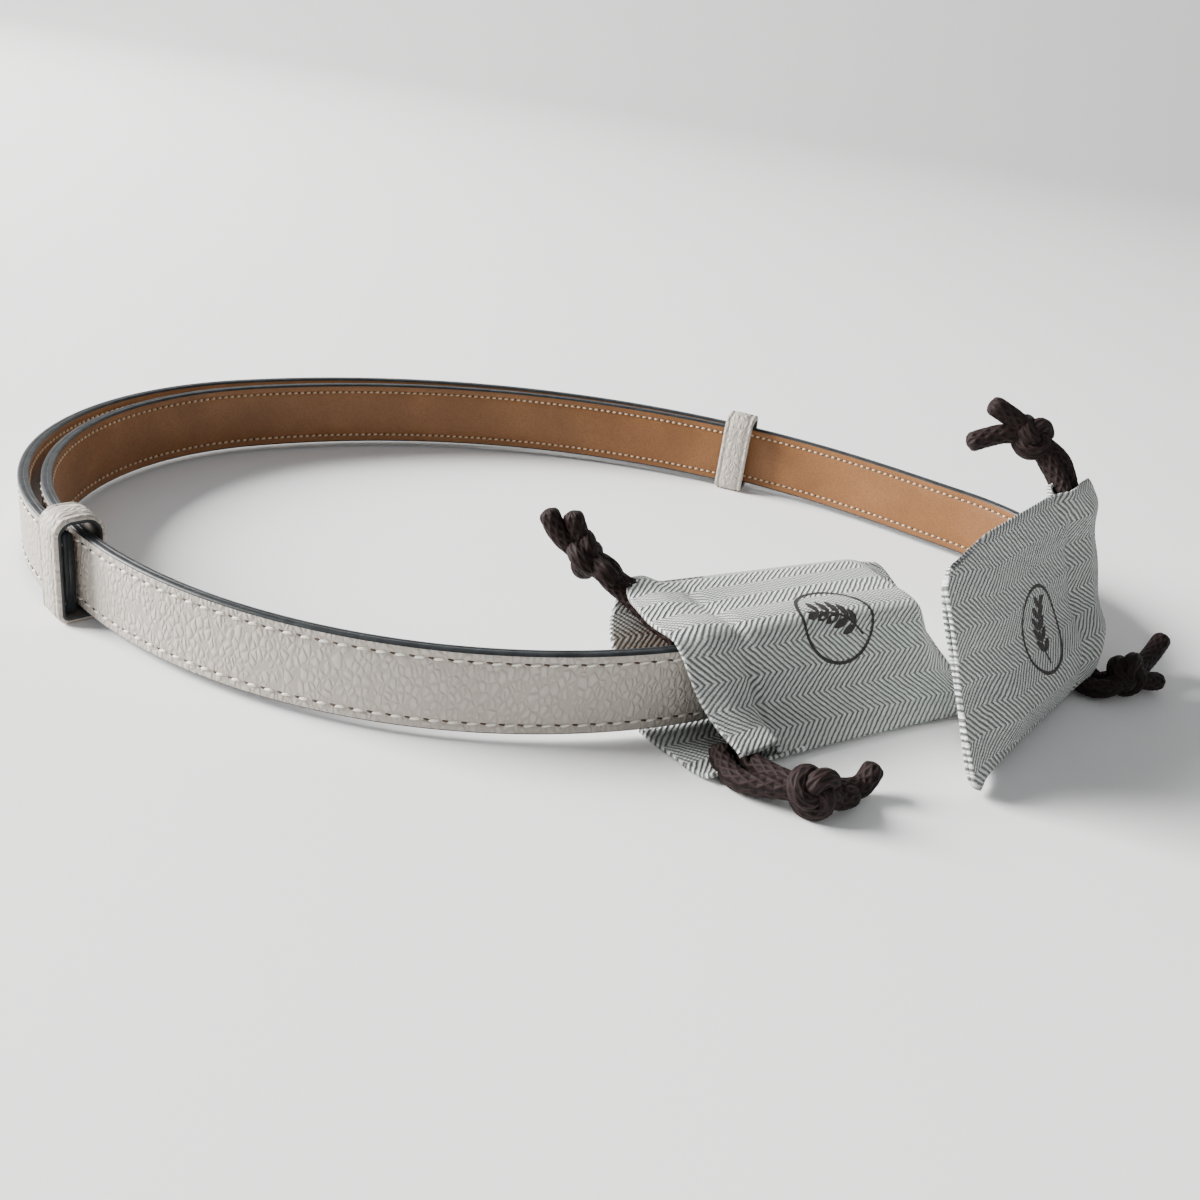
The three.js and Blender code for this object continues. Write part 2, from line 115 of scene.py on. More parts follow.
print("route", round(ROUTE_LENGTH, 1), "mm")

# %% [markdown]
# ## Mesh helpers
# A long piece is a section carried along a path. `grid_faces` joins rows of points into quads, and
# `make_piece` turns millimetre points into an object whose place is all in its mesh.

# %% Mesh helpers
def grid_faces(rows, columns, closed):
    last = columns if closed else columns - 1
    return [(r * columns + c, r * columns + (c + 1) % columns,
             (r + 1) * columns + (c + 1) % columns, (r + 1) * columns + c)
            for r in range(rows - 1) for c in range(last)]


def make_piece(name, points, faces, materials, face_slots=None, uvs=None):
    data = bpy.data.meshes.new(name)
    data.from_pydata([tuple(p) for p in np.asarray(points, float) * MM], [], faces)
    for material in materials:
        data.materials.append(material)
    if face_slots is not None:
        data.polygons.foreach_set("material_index", face_slots)
    data.polygons.foreach_set("use_smooth", [True] * len(data.polygons))
    if uvs is not None:
        layer = data.uv_layers.new(name="UVMap")
        corner_points = np.zeros(len(data.loops), int)
        data.loops.foreach_get("vertex_index", corner_points)
        layer.data.foreach_set("uv", np.asarray(uvs, float)[corner_points].ravel())
    data.update()
    piece = bpy.data.objects.new(name, data)
    bpy.context.scene.collection.objects.link(piece)
    return piece


def merge_doubles(piece, apart):
    mesh = bmesh.new()
    mesh.from_mesh(piece.data)
    bmesh.ops.remove_doubles(mesh, verts=mesh.verts, dist=apart)
    mesh.to_mesh(piece.data)
    mesh.free()


def face_out(piece):
    mesh = bmesh.new()
    mesh.from_mesh(piece.data)
    bmesh.ops.recalc_face_normals(mesh, faces=mesh.faces)
    mesh.to_mesh(piece.data)
    mesh.free()


def attach(piece, body, slot, *nodes):
    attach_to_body(piece, body)
    if nodes:
        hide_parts(*nodes)
    print(piece.name, len(piece.data.polygons), "faces, rides on", body)
    return piece


def run_of(line):
    """How far each point of a line is from its start, measured along the line."""
    return np.concatenate([[0], np.cumsum(np.linalg.norm(np.diff(line, axis=0), axis=1))])


def smooth_line(points, step=None, count=None):
    """A Catmull-Rom curve through the points, in even steps or as a number of points."""
    p = np.array(points, float)
    p = np.vstack([2 * p[0] - p[1], p, 2 * p[-1] - p[-2]])
    fine = []
    for a, b, c, d in zip(p, p[1:], p[2:], p[3:]):
        for t in np.linspace(0, 1, 24, endpoint=False):
            fine.append(0.5 * (2 * b + (c - a) * t + (2 * a - 5 * b + 4 * c - d) * t ** 2
                               + (3 * b - a - 3 * c + d) * t ** 3))
    fine = np.array([*fine, p[-2]])
    run = run_of(fine)
    count = count or max(2, int(round(run[-1] / step)) + 1)
    at = np.linspace(0, run[-1], count)
    return np.stack([np.interp(at, run, fine[:, k]) for k in range(fine.shape[1])], axis=1)


def ease(low, high, value):
    t = np.clip((value - low) / (high - low), 0, 1)
    return t * t * (3 - 2 * t)


print("mesh helpers ready")

# %% [markdown]
# ## A short way to write material nodes
# A finish is a chain of small nodes. `node` makes one, sets its options, and fills each input with
# either a number or the output of the node before.

# %% Material helpers
def node(tree, kind, *inputs, out=0, **options):
    made = tree.nodes.new(kind)
    for key, value in options.items():
        setattr(made, key, value)
    for socket, value in zip(made.inputs, inputs):
        if isinstance(value, bpy.types.NodeSocket):
            tree.links.new(value, socket)
        elif value is not None:
            socket.default_value = value
    return made.outputs[out]


def maths(tree, operation, *inputs):
    return node(tree, "ShaderNodeMath", *inputs, operation=operation)


def blend_colour(tree, factor, first, second):
    made = tree.nodes.new("ShaderNodeMix")
    made.data_type = "RGBA"
    for index, value in ((0, factor), (6, first), (7, second)):
        if isinstance(value, bpy.types.NodeSocket):
            tree.links.new(value, made.inputs[index])
        else:
            made.inputs[index].default_value = value
    return made.outputs[2]


def span(tree, value, low, high, to_low=0.0, to_high=1.0, **options):
    return node(tree, "ShaderNodeMapRange", value, low, high, to_low, to_high, **options)


def object_place(tree):
    return node(tree, "ShaderNodeTexCoord", out=3)


def own_map(tree):
    return node(tree, "ShaderNodeUVMap", uv_map="UVMap")


def stirred(tree, place, scale, amount):
    """A place pushed about by noise, so that a pattern on it has no straight line."""
    stir = node(tree, "ShaderNodeTexNoise", place, None, scale, 2.0, out=1)
    moved = node(tree, "ShaderNodeVectorMath", stir, (amount, amount, 0.0), operation="MULTIPLY")
    return node(tree, "ShaderNodeVectorMath", place, moved, operation="ADD")


def finish_of(name, roughness, **sockets):
    material = bpy.data.materials.new(name)
    material.use_nodes = True
    tree = material.node_tree
    shader = tree.nodes["Principled BSDF"]
    shader.inputs["Roughness"].default_value = roughness
    for key, value in sockets.items():
        shader.inputs[key.replace("_", " ")].default_value = value
    return material, tree, shader


def bump(tree, shader, height, distance):
    made = tree.nodes.new("ShaderNodeBump")
    made.inputs["Strength"].default_value = 1.0
    made.inputs["Distance"].default_value = distance
    tree.links.new(height, made.inputs["Height"])
    tree.links.new(made.outputs["Normal"], shader.inputs["Normal"])


print("material helpers ready")

# %% [markdown]
# ## Grained leather
# The outer ply is a soft calf leather with a pebbled grain: low cells, longer one way than the
# other, with fine creases between them. The pattern sits on the pieces' own maps, which are
# in centimetres along and across the leather, so the grain turns with the strap.

# %% Grained leather
GRAIN_SCALE, GRAIN_STRETCH, GRAIN_SLANT = 7.6, 0.58, math.radians(52)


def grained_leather():
    material, tree, shader = finish_of("grained_leather", 0.45, Specular_IOR_Level=0.4)
    place = stirred(tree, own_map(tree), 4.5, 0.10)
    slanted = node(tree, "ShaderNodeMapping", place)
    slanted.node.inputs["Rotation"].default_value = (0, 0, GRAIN_SLANT)
    slanted.node.inputs["Scale"].default_value = (1, GRAIN_STRETCH, 1)
    cells = node(tree, "ShaderNodeTexVoronoi", slanted, None, GRAIN_SCALE, feature="DISTANCE_TO_EDGE")
    crease = span(tree, cells, 0.0, 0.30, interpolation_type="SMOOTHSTEP")
    swell = node(tree, "ShaderNodeTexVoronoi", slanted, None, GRAIN_SCALE, feature="SMOOTH_F1")
    fine = node(tree, "ShaderNodeTexNoise", place, None, 60.0, 3.0)
    patch = node(tree, "ShaderNodeTexNoise", place, None, 0.7, 3.0)
    drift = span(tree, patch, 0.35, 0.65)
    base = blend_colour(tree, drift, (0.44, 0.40, 0.355, 1), (0.51, 0.47, 0.42, 1))
    # The creases are painted a shade darker than the cells: painted shade in the grain's creases.
    colour = blend_colour(tree, crease, (0.40, 0.36, 0.315, 1), base)
    tree.links.new(colour, shader.inputs["Base Color"])
    tree.links.new(span(tree, crease, 0, 1, 0.6, 0.44), shader.inputs["Roughness"])
    height = maths(tree, "MULTIPLY", crease, 0.8)
    height = maths(tree, "ADD", height, maths(tree, "MULTIPLY", fine, 0.15))
    height = maths(tree, "SUBTRACT", height, maths(tree, "MULTIPLY", swell, 0.5))
    bump(tree, shader, height, 0.00024)
    return material


GRAINED = grained_leather()
print("grain", GRAINED.name)

# %% [markdown]
# ## Lining leather
# The inner ply is smooth tan calf, almost flat, with a very fine pore and a slow change of tone
# where it has been handled.

# %% Lining leather
def lining_leather():
    material, tree, shader = finish_of("tan_lining", 0.5, Specular_IOR_Level=0.35)
    place = object_place(tree)
    cloud = node(tree, "ShaderNodeTexNoise", place, None, 70.0, 4.0)
    pores = node(tree, "ShaderNodeTexVoronoi", place, None, 2600.0)
    fine = node(tree, "ShaderNodeTexNoise", place, None, 1900.0, 4.0)
    handled = span(tree, cloud, 0.3, 0.7)
    tone = blend_colour(tree, handled, (0.165, 0.068, 0.020, 1), (0.225, 0.098, 0.032, 1))
    flecks = span(tree, fine, 0.42, 0.62, 0, 0.35)
    tone = blend_colour(tree, flecks, tone, (0.12, 0.046, 0.013, 1))
    tree.links.new(tone, shader.inputs["Base Color"])
    tree.links.new(span(tree, fine, 0.3, 0.7, 0.44, 0.6), shader.inputs["Roughness"])
    bump(tree, shader, maths(tree, "ADD", fine, maths(tree, "MULTIPLY", pores, 0.5)), 0.00005)
    return material


LINING = lining_leather()
print("lining", LINING.name)

# %% [markdown]
# ## Painted edge
# Where the two plies meet, the cut edge is filled, rounded and painted a dark grey in several
# coats. It is a little glossy, with soft waves from the brush. The threads, the painted shade in the
# stitch holes and the painted shade inside the keepers are as plain, so one function makes a finish
# for each of them.

# %% Edge paint, thread, and painted shade for stitch holes and keepers
def plain_finish(name, dark, light, roughness, scale, depth, **sockets):
    """One tone that drifts to another by a noise of this scale, with a fine bump of this depth."""
    material, tree, shader = finish_of(name, roughness, **sockets)
    place = object_place(tree)
    drift = node(tree, "ShaderNodeTexNoise", place, None, scale, 3.0)
    tree.links.new(blend_colour(tree, span(tree, drift, 0.35, 0.65), dark, light),
                   shader.inputs["Base Color"])
    bump(tree, shader, drift, depth)
    return material


EDGE_PAINT = plain_finish("edge_paint", (0.012, 0.014, 0.016, 1), (0.024, 0.028, 0.031, 1),
                          0.4, 300.0, 0.00012, Specular_IOR_Level=0.35)
THREAD = plain_finish("waxed_thread", (0.72, 0.68, 0.60, 1), (0.86, 0.83, 0.76, 1),
                      0.55, 2400.0, 0.0001)
TAN_THREAD = plain_finish("tan_thread", (0.50, 0.33, 0.19, 1), (0.62, 0.44, 0.27, 1),
                          0.55, 2400.0, 0.0001)
# Painted shade: dark beads in the stitch holes stand for the shade that falls into them.
HOLE_SHADE = plain_finish("stitch_hole", (0.05, 0.035, 0.025, 1), (0.11, 0.08, 0.06, 1),
                          0.9, 900.0, 0.00005)
# Painted shade: the keeper's inside face is painted near black for the shade inside the loop.
KEEPER_INSIDE_SHADE = plain_finish("keeper_inside_shade", (0.035, 0.030, 0.027, 1), (0.07, 0.06, 0.055, 1),
                             0.7, 500.0, 0.00008)
print("finishes", EDGE_PAINT.name, THREAD.name, TAN_THREAD.name, HOLE_SHADE.name)

# %% [markdown]
# ## The straps
# Each strap is two plies with one rounded, painted edge. The section of a ply is drawn once, with
# a shallow groove where the stitching pulls the leather down, and carried along the route.

# %% Strap sections
STITCH_INSET, GROOVE_DEPTH = 2.3, 0.22
HALF = STRAP_WIDTH / 2
GROOVE_AT = HALF - STITCH_INSET
PAINTED_POINTS = 5
WALK_STEP = 2.0


def ply_section(thick, groove):
    """Half of a ply's outline, from its glued face round the painted edge to its middle."""
    return [(0, HALF - 0.06), (0.12, HALF), (0.5 * thick, HALF), (0.74 * thick, HALF - 0.12),
            (0.92 * thick, HALF - 0.28), (thick, HALF - 0.52), (thick, GROOVE_AT + 0.75),
            (thick - 0.4 * groove, GROOVE_AT + 0.35), (thick - groove, GROOVE_AT),
            (thick - 0.4 * groove, GROOVE_AT - 0.35), (thick, GROOVE_AT - 0.8), (thick + 0.05, 3.4)]


def ply_piece(name, start, end, offset, thick, outwards, face):
    half = ply_section(thick, GROOVE_DEPTH)
    section = half + [(t, -z) for t, z in reversed(half)]
    count = int(math.ceil((end - start) / WALK_STEP)) + 1
    points, maps = [], []
    for distance in np.linspace(start, end, count):
        base = offset(distance)
        for t, z in section:
            points.append(beside_route(distance, base + outwards * t, STRAP_MIDDLE + z))
            maps.append((distance / 10, z / 10))
    columns = len(section)
    faces = grid_faces(count, columns, True)
    slots = []
    for r in range(count - 1):
        for c in range(columns):
            painted = c < PAINTED_POINTS or c >= columns - PAINTED_POINTS - 1
            slots.append(1 if painted else 0)
    faces += [tuple(range(columns))[::-1], tuple(range((count - 1) * columns, count * columns))]
    piece = make_piece(name, points, faces, [face, EDGE_PAINT], slots + [1, 1], maps)
    face_out(piece)
    return piece


print("stitch groove", round(GROOVE_AT, 1), "mm from the strap's middle")

# %% Straps
KEEPER_WIDTH, STRAP_END_INSET = 8.5, 1.5
FRONT_KEEPER_AT, BACK_KEEPER_AT = 184.5, 460.5
STRAPS = {
    "front_strap": (0.0, BACK_KEEPER_AT + KEEPER_WIDTH / 2 - STRAP_END_INSET, lambda d: 0.0),
    "back_strap": (FRONT_KEEPER_AT - KEEPER_WIDTH / 2 + STRAP_END_INSET, ROUTE_LENGTH, stand_off),
}


def seam_of(middle):
    """Where a strap's two plies meet, measured out from the route."""
    return lambda d: middle(d) - STRAP_THICK / 2 + LINING_THICK


for strap, (start, end, middle) in STRAPS.items():
    seam = seam_of(middle)
    leather = ply_piece(strap + "_grained_ply", start, end, seam, LEATHER_THICK, 1, GRAINED)
    attach(leather, strap, "white_leather", strap + "_leather")
    lining = ply_piece(strap + "_lining_ply", start, end, seam, LINING_THICK, -1, LINING)
    attach(lining, strap, "tan_lining", strap + "_lining")

# %% [markdown]
# ## Saddle stitching
# A saddle stitch is a row of short slanted stitches, each sinking into a hole at both its ends. It
# repeats hundreds of times, so a Geometry Nodes tree sets one bead on evenly spaced points of a
# line, turned along it. The same tree makes the threads and, between them, dark beads of painted
# shade in the holes. The stitches are long and pale on the grained side, and short and tan on the
# lining.

# %% Stitch tree
def stitch_tree():
    tree = bpy.data.node_groups.new("stitch_row", "GeometryNodeTree")
    face = tree.interface
    face.new_socket("Geometry", in_out="INPUT", socket_type="NodeSocketGeometry")
    face.new_socket("Pitch", in_out="INPUT", socket_type="NodeSocketFloat")
    face.new_socket("Size", in_out="INPUT", socket_type="NodeSocketVector")
    face.new_socket("Slant", in_out="INPUT", socket_type="NodeSocketFloat")
    face.new_socket("Finish", in_out="INPUT", socket_type="NodeSocketMaterial")
    face.new_socket("Geometry", in_out="OUTPUT", socket_type="NodeSocketGeometry")
    given = tree.nodes.new("NodeGroupInput").outputs
    line = node(tree, "GeometryNodeMeshToCurve", given["Geometry"])
    spaced = tree.nodes.new("GeometryNodeResampleCurve")
    spaced.mode = "LENGTH"
    tree.links.new(line, spaced.inputs["Curve"])
    tree.links.new(given["Pitch"], spaced.inputs["Length"])
    bead = node(tree, "GeometryNodeMeshUVSphere", 7, 4, 1.0)
    tangent = node(tree, "GeometryNodeInputTangent")
    along = node(tree, "FunctionNodeAlignRotationToVector", None, 1.0, tangent, axis="X")
    upright = node(tree, "FunctionNodeAlignRotationToVector", along, 1.0, (0, 0, 1), axis="Z",
                   pivot_axis="X")
    angles = node(tree, "ShaderNodeCombineXYZ", 0.0, given["Slant"], 0.0)
    slant = node(tree, "FunctionNodeEulerToRotation", angles)
    turned = node(tree, "FunctionNodeRotateRotation", upright, slant, rotation_space="LOCAL")
    placed = tree.nodes.new("GeometryNodeInstanceOnPoints")
    tree.links.new(spaced.outputs["Curve"], placed.inputs["Points"])
    tree.links.new(bead, placed.inputs["Instance"])
    tree.links.new(turned, placed.inputs["Rotation"])
    tree.links.new(given["Size"], placed.inputs["Scale"])
    real = node(tree, "GeometryNodeRealizeInstances", placed.outputs[0])
    coloured = tree.nodes.new("GeometryNodeSetMaterial")
    tree.links.new(real, coloured.inputs["Geometry"])
    tree.links.new(given["Finish"], coloured.inputs["Material"])
    result = tree.nodes.new("NodeGroupOutput")
    tree.links.new(coloured.outputs[0], result.inputs["Geometry"])
    return tree


STITCH_TREE = stitch_tree()
print("stitch tree", len(STITCH_TREE.nodes), "nodes")


# %% Stitch rows
def stitched(name, lines, pitch, size, slant, finish):
    """Beads along lines of points, made real as one mesh."""
    points = [p for line in lines for p in line]
    edges, base = [], 0
    for line in lines:
        edges += [(base + i, base + i + 1) for i in range(len(line) - 1)]
        base += len(line)
    data = bpy.data.meshes.new(name)
    data.from_pydata([tuple(p) for p in np.array(points) * MM], edges, [])
    piece = bpy.data.objects.new(name, data)
    bpy.context.scene.collection.objects.link(piece)
    modifier = piece.modifiers.new("stitches", "NODES")
    modifier.node_group = STITCH_TREE
    values = {"Pitch": pitch * MM, "Size": [s * MM for s in size], "Slant": slant, "Finish": finish}
    for item in STITCH_TREE.interface.items_tree:
        if item.in_out == "INPUT" and item.name in values:
            modifier[item.identifier] = values[item.name]
    piece.update_tag()
    bpy.context.view_layer.update()
    graph = bpy.context.evaluated_depsgraph_get()
    real = bpy.data.meshes.new_from_object(piece.evaluated_get(graph))
    piece.modifiers.clear()
    piece.data = real
    real.polygons.foreach_set("use_smooth", [True] * len(real.polygons))
    return piece


OUTER_PITCH, INNER_PITCH, STITCH_SLANT = 3.6, 1.9, math.radians(10)
THREAD_SINK, HOLE_SINK, ROW_END_INSET = 0.06, 0.13, 3
STRAP_FACES = (("outer", 1, OUTER_PITCH, THREAD, "white_leather"),
               ("inner", -1, INNER_PITCH, TAN_THREAD, "tan_lining"))


def stitch_rows(start, end, middle, side, sink):
    """The upper and the lower row of one face, a little under the leather's surface."""
    out = side * (STRAP_THICK / 2 - sink)
    return [[beside_route(d, middle(d) + out, STRAP_MIDDLE + height)
             for d in np.arange(start, end - ROW_END_INSET, WALK_STEP)]
            for height in (GROOVE_AT, -GROOVE_AT)]


for strap, (start, end, middle) in STRAPS.items():
    for face, side, pitch, thread, slot in STRAP_FACES:
        name, slant = f"{strap}_{face}_stitch", side * STITCH_SLANT
        first = start + ROW_END_INSET
        rows = stitch_rows(first, end, middle, side, THREAD_SINK)
        bead = (0.33 * pitch, 0.30, 0.32)
        attach(stitched(name + "es", rows, pitch, bead, slant, thread), strap, slot)
        # The dark beads set between the stitches are painted shade in the stitch holes.
        rows = stitch_rows(first + pitch / 2, end, middle, side, HOLE_SINK)
        hole = (0.21 * pitch, 0.20, 0.26)
        attach(stitched(name + "_holes", rows, pitch, hole, -slant, HOLE_SHADE), strap, slot)

# %% [markdown]
# ## Keepers
# A keeper is a strip of the same leather bent into a loop and closed on the strap's end. Its strip
# section has rounded edges and a crease pressed along each of them; it is carried round the loop.
# The loop's own map is measured along its run, so the grain keeps its size at the bends.

# %% Keepers
KEEPER_WALL, KEEPER_ROOM, KEEPER_HEIGHT, KEEPER_CLEAR = 1.6, 7.6, 20.6, 0.3
KEEPER_TOP_RADIUS, KEEPER_FOOT_RADIUS = 2.6, 0.6


def loop_line(middle):
    """The keeper's loop seen along the strap, as (out, height) points and their outward normals."""
    across, height = KEEPER_ROOM + 2 * KEEPER_WALL, KEEPER_HEIGHT + 2 * KEEPER_WALL
    points = []
    corners = ((1, 1, KEEPER_TOP_RADIUS, 0), (-1, 1, KEEPER_TOP_RADIUS, 90),
               (-1, -1, KEEPER_FOOT_RADIUS, 180), (1, -1, KEEPER_FOOT_RADIUS, 270))
    for side_x, side_z, radius, first in corners:
        radius = radius + KEEPER_WALL
        for angle in np.radians(first + np.linspace(0, 90, 9)):
            normal = np.array([math.cos(angle), math.sin(angle)])
            centre = np.array([middle + side_x * (across / 2 - radius),
                               height / 2 + side_z * (height / 2 - radius)])
            points.append((centre + normal * radius, normal))
    return points


def strip_section():
    """Across the keeper's strip: (along the strap, depth under the outside), with its two creases."""
    half, wall = KEEPER_WIDTH / 2, KEEPER_WALL
    side = [(-half + 0.1, wall), (-half, wall - 0.3), (-half, 0.85), (-half + 0.1, 0.25),
            (-half + 0.5, 0.02), (-half + 1.0, 0.0), (-half + 1.3, 0.32), (-half + 1.6, 0.0),
            (-1.2, -0.03), (0, -0.04)]
    return side + [(-a, b) for a, b in reversed(side[:-1])]


def keeper_piece(name, distance, outside):
    loop, strip = loop_line(outside - KEEPER_ROOM / 2), strip_section()
    place, heading = route_at(distance)
    points, maps, run = [], [], 0.0
    for step, ((out, height), normal) in enumerate(loop):
        run += math.hypot(out - loop[step - 1][0][0], height - loop[step - 1][0][1]) / 10
        for along, depth in strip:
            maps.append((along / 10, run))
            o, h = out - normal[0] * depth, height - normal[1] * depth
            points.append([place[0] - o * math.sin(heading) + along * math.cos(heading),
                           place[1] + o * math.cos(heading) + along * math.sin(heading), h])
    columns, rows = len(strip), len(loop)
    points = np.array(points).reshape(rows, columns, 3)
    points = np.concatenate([points, points[:1]]).reshape(-1, 3)
    maps += [(u, v + maps[0][1]) for u, v in maps[-columns:]]
    faces = grid_faces(rows + 1, columns, True)
    # The strip's inside face takes the near-black painted shade of the loop's inside.
    painted, inside = (0, 1, columns - 3, columns - 2), columns - 1
    slots = [(1 if c in painted else 2 if c == inside else 0)
             for _ in range(rows) for c in range(columns)]
    piece = make_piece(name, points, faces, [GRAINED, EDGE_PAINT, KEEPER_INSIDE_SHADE], slots, maps)
    merge_doubles(piece, 1e-6)
    face_out(piece)
    return piece


front_outside = stand_off(FRONT_KEEPER_AT) + STRAP_THICK / 2 + KEEPER_CLEAR
front_keeper = keeper_piece("front_keeper_loop", FRONT_KEEPER_AT, front_outside)
attach(front_keeper, "back_strap", "white_leather", "front_keeper")
back_outside = KEEPER_ROOM - STRAP_THICK / 2 - KEEPER_CLEAR
back_keeper = keeper_piece("back_keeper_loop", BACK_KEEPER_AT, back_outside)
attach(back_keeper, "front_strap", "white_leather", "back_keeper")

# %% [markdown]
# ## Herringbone cotton
# The cloth is woven in stripes whose ribs lean one way and then the other. The pieces carry a map
# in centimetres along and across the cloth. Folding the across value back and forth gives the
# stripes, and adding it to the along value slants the ribs.

# %% Herringbone cotton
STRIPE_WIDTH, RIB_PITCH, RIB_SLANT = 0.56, 0.15, 1.15
TWIST_PITCH, TWIST_SLANT = 0.07, 0.55


def herringbone(name, tone):
    material, tree, shader = finish_of(name, 0.85, Sheen_Weight=0.25, Sheen_Roughness=0.5,
                                       Specular_IOR_Level=0.15)
    place = stirred(tree, own_map(tree), 5.0, 0.055)
    split = node(tree, "ShaderNodeSeparateXYZ", place)
    along, across = split, split.node.outputs[1]
    folded = maths(tree, "PINGPONG", across, STRIPE_WIDTH)
    phase = maths(tree, "ADD", along, maths(tree, "MULTIPLY", folded, RIB_SLANT))
    rib = maths(tree, "SINE", maths(tree, "MULTIPLY", phase, 2 * math.pi / RIB_PITCH))
    rib = span(tree, rib, -0.9, 0.75)
    cross = maths(tree, "SUBTRACT", folded, maths(tree, "MULTIPLY", along, TWIST_SLANT))
    twist = maths(tree, "SINE", maths(tree, "MULTIPLY", cross, 2 * math.pi / TWIST_PITCH))
    twist = span(tree, twist, -1.0, 1.0)
    yarn = node(tree, "ShaderNodeTexNoise", place, None, 60.0, 3.0)
    height = maths(tree, "ADD", rib, maths(tree, "MULTIPLY", twist, 0.22))
    height = maths(tree, "ADD", height, maths(tree, "MULTIPLY", yarn, 0.25))
    lit, worn, shade = [tuple(c * share for c in tone) + (1,) for share in (1.0, 0.7, 0.09)]
    colour = blend_colour(tree, span(tree, rib, 0.0, 0.75), shade, lit)
    colour = blend_colour(tree, span(tree, yarn, 0.35, 0.7, 0, 0.3), colour, worn)
    tree.links.new(colour, shader.inputs["Base Color"])
    bump(tree, shader, height, 0.0005)
    return material


COTTON = herringbone("herringbone_cotton", (0.76, 0.80, 0.775))
PRINT_INK = plain_finish("print_ink", (0.012, 0.010, 0.009, 1), (0.03, 0.026, 0.024, 1),
                         0.8, 1800.0, 0.00005)
print("cloth", COTTON.name, "ink", PRINT_INK.name)

# %% [markdown]
# ## Pouches
# Each pouch is two layers of cotton sewn along three sides, with a hem for the drawstrings at its
# mouth. A layer is a grid: rows run from the closed end to the mouth, and each row is a smooth
# line from one side seam to the other over what is inside. The strap inside holds it in shape.
#
# A row's points are measured in from the pouch's outer side and up from the table. The rows start
# at the closed end as a flat seam, and have their full shape after `flatten`. `frame` is a place on
# the route, as a distance along it, a distance out and a turn. The closed end reaches `over` past
# it and leans with height by `lean`, and its foot is moved by `kick`. `side` is how far out the
# outer side stands, `flare` widens the mouth, and `corner` is the depth and reach of the rounding
# at the closed end's corners.

# %% Pouch measures
FRONT = {
    "frame": (0.0, 0.0, -1.0), "towards": 1, "length": 75.0, "height": 48.2, "flatten": 12.5,
    "over": 24.5, "side": 16.3, "lean": 0.0, "kick": (0.0, 0.0), "flare": 3.0, "corner": (2.6, 3.5),
    "top": [(0, 1.4), (4, 5.2), (8, 10.4), (11, 15.5), (13.4, 20.5), (15, 22.5), (18.5, 23.3),
            (24, 22.9), (30, 22.5), (36, 22), (40.6, 21.2)],
    "top_seam": [(0.0, 1.4), (3.8, 3.2), (7.9, 5.0), (12, 6.9), (16, 8.8), (20.2, 10.9), (24.4, 12.8),
                 (28.6, 14.7), (32.8, 16.6), (36.9, 18.2), (41, 19.4)],
    "bottom": [(0, 1.4), (1.6, 0.5), (5, 0.1), (11, 0.0), (21, 0.1), (26, 4.6), (31, 10), (36, 15.2),
               (39.2, 18.8), (40.6, 21.2)],
    "bottom_seam": [(0.0, 1.4), (3, 1.9), (7.5, 3.6), (12, 5.6), (17, 7.8), (22, 10), (27, 12.3),
                    (32, 14.6), (37, 17), (41, 19.4)],
    "mouth_top": [(0, -6.4), (0.16, -4.6), (0.33, -1.6), (0.5, 1.6), (0.62, 2.8), (0.8, 1.5),
                  (1, -2.4)],
    "mouth_bottom": [(0, -0.6), (0.05, 1.8), (0.35, 4.2), (0.6, 4.6), (0.85, 3.2), (1, -2.4)],
}
BACK = {
    "frame": (ROUTE_LENGTH, STRAP_SPACING, 0.0), "towards": -1, "length": 70.0, "height": 48.2,
    "flatten": 20.0, "over": 17.0, "side": 8.4, "lean": 8.0, "kick": (5.0, 3.0), "flare": 0.0,
    "corner": (3.6, 5.5),
    "top": [(2.0, 0.9), (0.2, 1.6), (-0.6, 4.5), (-0.7, 9), (0.5, 15), (3.9, 20.2), (7.2, 26),
            (9.3, 31), (11.2, 36), (13.2, 42), (14.8, 46.4), (15.9, 47.9)],
    "top_seam": [(0.9, 0.8), (1.0, 2.4), (1.6, 5), (2.8, 9.2), (4.2, 13.4), (5.8, 18), (7.4, 22.6),
                 (9.2, 27.4), (11, 32.4), (13, 37.8), (14.8, 42.4), (16, 45)],
    "bottom": [(2.0, 0.9), (5.5, 0.1), (9.6, 0.2), (11.6, 1.8), (11.8, 7), (11.8, 14), (12.1, 24),
               (13.2, 31), (14.4, 37), (15.6, 43), (16.4, 46.8), (15.9, 47.9)],
    "bottom_seam": [(0.9, 0.8), (2.0, 2.2), (3.2, 5.4), (4.6, 9.4), (6.2, 13.6), (7.9, 18),
                    (9.6, 22.4), (11.4, 27.4), (13.2, 32.4), (14.8, 37.6), (15.9, 42), (16, 45)],
    "mouth_top": [(0, -1), (0.2, -1.2), (0.35, 0.8), (0.55, 5.6), (0.78, 4.9), (0.93, 1.8),
                  (1, -2.2)],
    "mouth_bottom": [(0, 0.4), (0.3, -0.6), (0.6, 1.2), (0.8, 1.4), (0.93, 0.8), (1, -2.2)],
}
CASING, CLOTH_THICK, TABLE_GAP = 14.5, 0.9, 0.05
KICK_REACH, KICK_HEIGHT, FLARE_REACH, CORNER_REACH, MOUTH_REACH = 25, 20, 14, 8, 26
ROWS, COLUMNS = 110, 76
print("front pouch", FRONT["length"], "mm, back pouch", BACK["length"], "mm")


